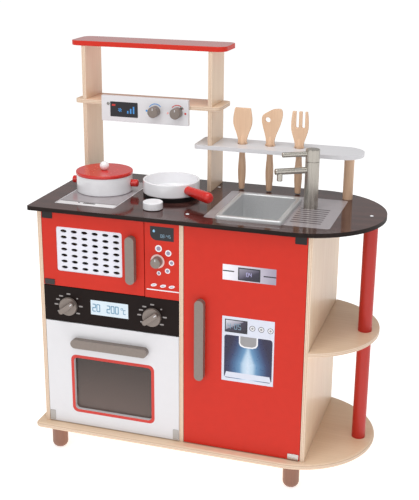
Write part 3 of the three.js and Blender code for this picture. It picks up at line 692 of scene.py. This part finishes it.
# ------------------------------------------------------------------ hob
put(lathe("hob_knob_v", [(0, 587.5), (9, 587.5), (9, 588.5), (20.2, 588.5), (20.9, 588.8), (21.3, 589.5)] + arcp(19.3, 602.3, 2, 0, 90, 6) + [(0, 604.3)], [white_gloss], (-107, -102.5, 0), seg=80), "hob_knob", "hob_knob", slot="white_paint")
put(lathe("burner_disc_v", [(0, 587.5), (62, 587.5), (62, 596.2), (61.6, 596.8), (60.8, 597), (0, 597)], [black_matt], (-104.1, 6.7, 0), seg=96), CAB, "burner_disc", slot="black_panel")

# ------------------------------------------------------------------ pot
px, py, z = -262.2, 5.0, 587.9
outer = [(0, z), (60, z)] + arcp(60, z + 2.5, 2.5, -90, 0, 5)[1:] + [(62.5, z + 38.4), (62.2, z + 39.0), (61.5, z + 39.2), (60.8, z + 39.0), (60.5, z + 38.4), (60.5, z + 6)] + arcp(56.5, z + 6, 4, 0, -90, 5)[1:] + [(0, z + 2)]
body = lathe("b", outer, [white_gloss], (px, py, 0), seg=128)
hs = []
for deg, tip in ((4, 78.5), (184, 75)):
    hs.append(lathe("h", [(0, 61.8), (7.6, 61.8), (8.2, 62.6)] + arcp(5.4, tip - 2.8, 2.8, 0, 90, 6) + [(0, tip)], [red_gloss], (px, py, z + 20.4), lying(deg), 48))
put(join("pot_v", [body] + hs), "pot", "pot_body", "pot_handle_left", "pot_handle_right", slot="white_enamel")
zl = z + 39.4
lid = lathe("l", [(0, zl - 3), (58.5, zl - 3), (59.1, zl), (63.0, zl), (63.6, zl + 0.2), (63.9, zl + 0.8), (63.9, zl + 4.4)] + arcp(61.3, zl + 4.4, 2.6, 0, 90, 7)[1:] + [(0, zl + 7)], [red_gloss], (px, py, 0), seg=128)
ball = lathe("k", [(0, zl + 7)] + arcp(0, zl + 16.2, 10.3, -63, 90, 18), [white_gloss], (px, py, 0), seg=48)
ball.data.vertices[-1].co.x = px * 0.001
put(join("lid_v", [lid, ball]), "lid", "pot_lid", "lid_knob", slot="red_wood")

# ------------------------------------------------------------------ pan
qx, qy, z = -104.1, 6.7, 597.2
prof = [(0, z), (59.5, z)] + arcp(59.5, z + 3, 3, -90, 0, 6)[1:] + arcp(60.7, z + 28, 1.8, 0, 90, 6) + arcp(59.3, z + 28, 1.8, 90, 180, 6) + [(57.5, z + 6.5)] + arcp(53.5, z + 6.5, 4, 0, -90, 6)[1:] + [(0, z + 2.5)]
pb = lathe("b", prof, [white_gloss], (qx, qy, 0), seg=128)
ph = lathe("h", [(0, 60.5), (9.6, 60.5), (10, 61.5), (10, 66), (10.3, 78), (10.7, 90), (11.2, 104), (11.7, 118), (12, 129), (11.9, 132), (11.4, 135.4), (10.3, 138.2), (8.6, 140.3), (6.4, 141.5), (4.0, 142), (0, 142.1)], [red_gloss], (qx, qy, 613), lying(-35.5), 56)
put(join("pan_v", [pb, ph]), "pan", "pan_body", "pan_handle", slot="white_enamel")

# ------------------------------------------------------------------ printed details
# oven door: red outline round the window
decal("oven_outline", rr(-284.5, 109.5, -88, 250, 13, 12), ink_red, OV, holes=[rr(-277.6, 116.4, -94.9, 243.1, 9, 12)])
# oven control panel
def ticks(cx, cz, name):
    out = []
    for dx, dz in ((-17.9, 21.3), (0, 27.8), (-25.6, 12.7), (-29.6, 1.1), (-23, -14.6), (20.4, 19.6), (28.2, 2.2), (21.3, -15)):
        w = 2.0 if (dx, dz) == (20.4, 19.6) else 4.6
        out.append(rr(cx + dx - w, cz + dz - 1.6, cx + dx + w, cz + dz + 1.6, 1.2, 3))
    decals(name, out, ink_tick, CAB)


ticks(-285, 364.5, "ticks_left")
ticks(-91, 364.5, "ticks_right")
decal("oven_lcd", rect(-233, 352, -146, 385.5), ink_lcd, CAB)
SEG = {"0": "abcdef", "1": "bc", "2": "abged", "3": "abgcd", "4": "fgbc", "5": "afgcd", "6": "afgedc", "7": "abc", "8": "abcdefg", "9": "abcdfg", "C": "afed"}


def digits(text, x, z, w, h, gap, t, slant=0.0):
    """Seven-segment numerals as strokes."""
    out = []
    for ch in text:
        if ch == " ":
            x += w * 0.9
            continue
        if ch == ":":
            for q in (0.3, 0.7):
                out.append(circ(x + t, z + h * q, t * 0.55, 8))
            x += 2 * t + gap
            continue
        P = {"a": ((0, h), (w, h)), "b": ((w, h), (w, h / 2)), "c": ((w, h / 2), (w, 0)), "d": ((0, 0), (w, 0)), "e": ((0, h / 2), (0, 0)), "f": ((0, h), (0, h / 2)), "g": ((0, h / 2), (w, h / 2))}
        for sgm in SEG[ch]:
            (u0, v0), (u1, v1) = P[sgm]
            out.append(stroke((x + u0, z + v0), (x + u1, z + v1), t))
        x += w + gap
    return out


decals("oven_digits", digits("20", -228.4, 360.3, 6.6, 16, 3.2, 2.2) + digits("200", -195, 360.3, 6.6, 16, 3.2, 2.2) + [band(-160.5, 372.6, 2.2, 1.3, 0, 350, 12)] + digits("C", -157, 361.5, 5, 9, 0, 1.5), ink_digit, CAB, lift=0.2)
# microwave control panel
disp = arcp(-42, 537, 0.01, 0, 0, 1)[:1] + [(-42, 567), (-94, 567), (-94, 551)] + arcp(-80, 551, 14, 180, 270, 8)[1:]
decal("mw_display", disp, ink_night, CAB)
decals("mw_time", digits("08:45", -71, 544, 3.1, 6.4, 1.8, 1.0), ink_dim, CAB, lift=0.2)
decals("mw_mark", [[(-87.5, 554), (-84, 554), (-83.2, 557), (-85.5, 561), (-88.4, 557)]], ink_cyan, CAB, lift=0.2)
decal("mw_ring", circ(-78, 491, 15.2, 48), ink_disc, CAB)
decals("mw_buttons", [circ(-75.6, 519.4, 7.5), circ(-54.3, 511.2, 6.9), circ(-47.2, 490.6, 5.8), circ(-56.1, 471.9, 5.6), circ(-75.4, 465, 4.6)] + [circ(x, z, 6.9, 28, 3.2, 14) for x, z in ((-86.8, 437.7), (-66.2, 437.3), (-46.9, 437.4))], ink_white, CAB)
decals("mw_icons", [circ(-75.6, 519.4, 4.7, 20), circ(-54.3, 511.2, 4.3, 20), circ(-47.2, 490.6, 3.6, 18), circ(-56.1, 471.9, 3.5, 18), circ(-75.4, 465, 2.9, 16)] + [stroke((x - 3.5, z - 0.8), (x + 3.5, z + 0.8), 1.6) for x, z in ((-86.8, 437.7), (-66.2, 437.3), (-46.9, 437.4))], ink_mauve, CAB, lift=0.2)
decal("mw_line", rect(-103, 425.8, -31, 428.2), ink_white, CAB)
# fridge stickers
def screen(name, x0, x1, z0, z1, stops):
    """A dark little screen whose upper left corner catches the light."""
    k = M(name)
    sep = k.node("ShaderNodeSeparateXYZ")
    k.link(k.co, sep.inputs[0])
    d = k.math("ADD", k.rng(sep.outputs[0], x0 * 0.001, x1 * 0.001, 0, 0.5), k.rng(sep.outputs[2], z0 * 0.001, z1 * 0.001, 0.5, 0))
    n = k.noise(k.co, 90, 2)
    k.color(k.ramp(k.math("ADD", d, k.rng(n, 0.3, 0.7, -0.01, 0.01)), stops))
    k.rough(k.rng(n, 0.3, 0.7, 0.2, 0.3))
    k.bump(k.noise(k.co, 900, 2), 0.02)
    return k.m


k = M("sticker_fade")
sep = k.node("ShaderNodeSeparateXYZ"); k.link(k.co, sep.inputs[0])
n = k.noise(k.co, 90, 2)
k.color(k.ramp(k.math("ADD", k.rng(sep.outputs[0], 0.0635, 0.176, 0, 1), k.rng(n, 0.3, 0.7, -0.02, 0.02)), [(0.1, S(238, 236, 243)), (0.5, S(204, 199, 212)), (0.95, S(160, 152, 170))]))
k.rough(k.rng(n, 0.3, 0.7, 0.3, 0.4))
k.bump(k.noise(k.co, 900, 2), 0.02)
decal("sticker1", rect(63.5, 468.5, 176, 502), k.m, FR)
decals("sticker1_lines", [rect(64, 486.8, 88, 489.2), rect(150, 483.3, 176, 485.7)], ink_dark, FR, lift=0.2)
decal("sticker1_display", rect(96.3, 470.5, 143, 498), ink_dark, FR, lift=0.2)
decal("sticker1_screen", rect(98.7, 472.9, 140.6, 495.6), screen("screen_small", 98.7, 140.6, 472.9, 495.6, [(0.0, S(150, 146, 160)), (0.45, S(92, 86, 106)), (0.6, S(44, 38, 60)), (1.0, S(26, 22, 38))]), FR, lift=0.28)
decals("sticker1_digits", digits("04", 114, 480, 3.8, 8.2, 2.4, 1.2), ink_lilac, FR, lift=0.36)
decal("sticker2", rect(64, 242, 176, 388.5), ink_frost, FR)
decal("sticker2_display", rect(70, 353.4, 118.5, 382.3), ink_night, FR, lift=0.2)
decal("sticker2_screen", rect(72, 355.4, 116.5, 380.3), screen("screen_large", 72, 116.5, 355.4, 380.3, [(0.0, S(212, 212, 222)), (0.42, S(150, 148, 164)), (0.46, S(58, 52, 72)), (1.0, S(24, 20, 34))]), FR, lift=0.28)
decals("sticker2_digits", digits("4:05", 76.5, 361.5, 5.4, 11.5, 2.8, 1.5), ink_dim, FR, lift=0.4)
decals("sticker2_rims", [circ(129, 367.5, 6.2, 28), circ(148, 367.5, 6.2, 28), circ(167.5, 367, 6.2, 28)], ink_dark, FR, lift=0.16)
decals("sticker2_dials", [circ(129, 367.5, 5.0, 24), circ(148, 367.5, 5.0, 24), circ(167.5, 367, 5.0, 24)], ink_white, FR, lift=0.2)
decals("sticker2_dial_marks", [circ(129, 367.5, 2.6, 16), circ(148, 367.5, 2.6, 16), circ(167.5, 367, 2.6, 16)], ink_grey, FR, lift=0.28)
k = M("niche")
sep = k.node("ShaderNodeSeparateXYZ"); k.link(k.co, sep.inputs[0])
dx = k.rng(k.math("ABSOLUTE", k.math("SUBTRACT", sep.outputs[0], 0.121), 0), 0, 0.052, 0, 1)
fall = k.math("ADD", dx, k.rng(sep.outputs[2], 0.285, 0.345, 0, 0.4))
k.color(k.ramp(k.math("ADD", fall, k.rng(k.noise(k.co, 60, 2), 0.3, 0.7, -0.008, 0.008)), [(0.0, S(205, 220, 236)), (0.2, S(178, 203, 224)), (0.34, S(96, 142, 182)), (0.56, S(62, 100, 142)), (0.78, S(38, 50, 92)), (1.0, S(28, 24, 60))]))
k.rough(k.rng(k.noise(k.co, 120, 2), 0.3, 0.7, 0.25, 0.35))
k.bump(k.noise(k.co, 900, 2), 0.02)
decal("sticker2_niche", rr(69.3, 249, 172.5, 347, 6), k.m, FR, lift=0.2)
decals("sticker2_spout", [[(100.8, 347), (100.8, 331), (104, 325), (112, 322), (130, 322), (138, 325), (141.5, 331), (141.5, 347)]], ink_white, FR, lift=0.28)
decals("sticker2_spout_face", [[(103.8, 347), (103.8, 332), (106.4, 327.6), (113, 325), (129, 325), (136, 327.6), (138.5, 332), (138.5, 347)]], ink_grey, FR, lift=0.34)
decals("sticker2_tray", [[(70.5, 250.5), (171.5, 250.5), (168, 263), (74, 263)]], ink_frost, FR, lift=0.28)
# hood
HP = 55.5
decal("hood_display", rr(-266.3, 745.5, -200.2, 779.3, 1.5, 4), ink_night, CAB, plane=HP)
decals("hood_red", [rect(-262, 769.5, -254, 773.5)], ink_red, CAB, plane=HP, lift=0.2)
decals("hood_bars", [rect(-226, 754, -222.5, 760), rect(-219, 754, -215.5, 765), rect(-212, 754, -208.5, 770)] + [stroke((-243 + 4.6 * math.cos(t), 761 + 4.6 * math.sin(t)), (-243 - 4.6 * math.cos(t), 761 - 4.6 * math.sin(t)), 1.8) for t in (0.3, 1.35, 2.4)], ink_blue, CAB, plane=HP, lift=0.2)
decal("hood_arc_blue", band(-158.7, 763.5, 16.2, 1.8, 40, 150), ink_blue, CAB, plane=HP)
decal("hood_arc_red", band(-107, 763.5, 16.2, 1.8, 30, 140), ink_red, CAB, plane=HP)
decals("hood_icons", [circ(-179.3, 763.4, 2.4, 12)], ink_blue, CAB, plane=HP)
decals("hood_icons2", [circ(-129.6, 761, 2.4, 12)], ink_pink, CAB, plane=HP)
decals("hood_icons3", [circ(-88.5, 762, 2.4, 12)], ink_red, CAB, plane=HP)
for i, (x, z) in enumerate(((-271, 774), (-97.5, 774))):
    o = lathe("hood_screw_%d" % i, [(0, 0.7), (1.2, 0.7), (1.5, 1.2), (3.0, 0.9), (3.6, 0.2), (3.6, -0.3), (0, -0.3)], [screw_mat], (x, HP, z), TO_Y, 24)
    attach(o, CAB)
for i, (x, y) in enumerate(((338.7, -4), (-26, -115), (-26, 111))):
    o = lathe("top_screw_%d" % i, [(0, 0.2), (1.4, 0.2), (1.8, 0.9), (3.2, 0.7), (4.0, 0.1), (4.0, -0.3), (0, -0.3)], [white_gloss], (x, y, 587.5), None, 24)
    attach(o, CAB)
# hob print and drainer print
TOPZ = 587.5
print_grey = paint("hob_print", S(160, 152, 155), 0.2, tint=0.03, coat=0.3)
print_light = paint("hob_strip", S(236, 234, 236), 0.2, tint=0.02, coat=0.3)
decal("hob_print", rr(-323.5, -127, -185.5, 89, 3), print_grey, CAB, plane=TOPZ, axis="z")
decal("hob_strip", rect(-320, -127, -188, -105), print_light, CAB, plane=TOPZ, axis="z", lift=0.2)
decals("hob_bar", [rect(-320, -105, -188, -102.6)], ink_line, CAB, plane=TOPZ, axis="z", lift=0.24)
decal("hob_outline", rr(-323.5, -127, -185.5, 89, 3), ink_white, CAB, plane=TOPZ, axis="z", holes=[rr(-322.2, -125.7, -186.8, 87.7, 2)], lift=0.26)
decals("hob_marks", [rect(-264, -113, -236, -107), circ(-273.4, -110, 2.6, 12)], ink_line, CAB, plane=TOPZ, axis="z", lift=0.28)
decal("drainer_print", rr(10.5, -126, 273.5, 92, 8), print_grey, CAB, plane=TOPZ, axis="z", holes=[rr(44, -124, 172, 55, 6)])
decals("drainer_lines", [rect(186.5, 5 - 14.4 * i - 2.1, 250, 5 - 14.4 * i + 2.1) for i in range(8)], ink_line, CAB, plane=TOPZ, axis="z", lift=0.2)

# ------------------------------------------------------------------ stage
floor_me = bpy.data.meshes.new("floor")
floor_me.from_pydata([(-20, -12, 0), (20, -12, 0), (20, 40, 0), (-20, 40, 0)], [], [(0, 1, 2, 3)])
floor = bpy.data.objects.new("floor", floor_me)
scene.collection.objects.link(floor)
k = M("floor")
n = k.noise(k.co, 3, 2)
k.color(k.ramp(n, [(0.3, (0.86, 0.86, 0.86, 1)), (0.7, (0.88, 0.88, 0.88, 1))]))
k.rough(k.rng(n, 0.3, 0.7, 0.7, 0.8))
k.bump(n, 0.01)
k.p.inputs["Emission Color"].default_value = (1, 1, 1, 1)
k.p.inputs["Emission Strength"].default_value = 0.64
floor_me.materials.append(k.m)

world = bpy.data.worlds.new("world")
scene.world = world
world.use_nodes = True
world.node_tree.nodes["Background"].inputs[0].default_value = (1, 1, 1, 1)
world.node_tree.nodes["Background"].inputs[1].default_value = 0.45


def area(name, loc, target, size, power, color=(1, 1, 1)):
    d = bpy.data.lights.new(name, "AREA")
    d.size = size
    d.energy = power
    d.color = color
    o = bpy.data.objects.new(name, d)
    scene.collection.objects.link(o)
    o.location = loc
    o.rotation_euler = (Vector(target) - Vector(loc)).to_track_quat("-Z", "Y").to_euler()
    return o


area("key", (-1.2, -2.8, 1.9), (0, 0, 0.4), 1.6, 14.5)
area("fill", (2.2, -2.0, 1.2), (0, 0, 0.4), 1.6, 5)
area("top", (0.1, -0.7, 3.0), (0, 0, 0.5), 1.8, 38)

scene.view_settings.view_transform = "Standard"
scene.view_settings.look = "None"
